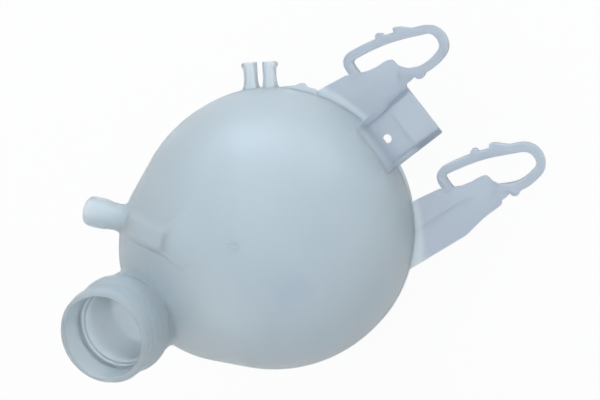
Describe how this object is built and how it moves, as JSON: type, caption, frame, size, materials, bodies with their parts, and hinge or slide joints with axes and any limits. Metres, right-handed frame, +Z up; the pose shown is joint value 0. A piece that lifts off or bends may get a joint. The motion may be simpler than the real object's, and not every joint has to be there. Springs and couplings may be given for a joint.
{
  "type": "coolant expansion tank",
  "caption": "Ball-shaped translucent coolant expansion tank in two welded half shells, with a filler neck, vent nipple, bottom outlet, mounting lug and two hose-clip arms.",
  "frame": {"origin": "centre of the hole in the mounting lug, on the top face round it", "axes": "+Z up, out of the filler neck; the weld plane is horizontal; +X runs from the lug across the ball to the filler neck; +Y follows by the right-hand rule"},
  "size_m": [0.2651, 0.1775, 0.2065],
  "materials": {
    "natural_plastic": "satin, milky translucent polypropylene"
  },
  "bodies": {
    "root": {"upper_shell": "natural_plastic", "lower_shell": "natural_plastic"}
  },
  "joints": []
}
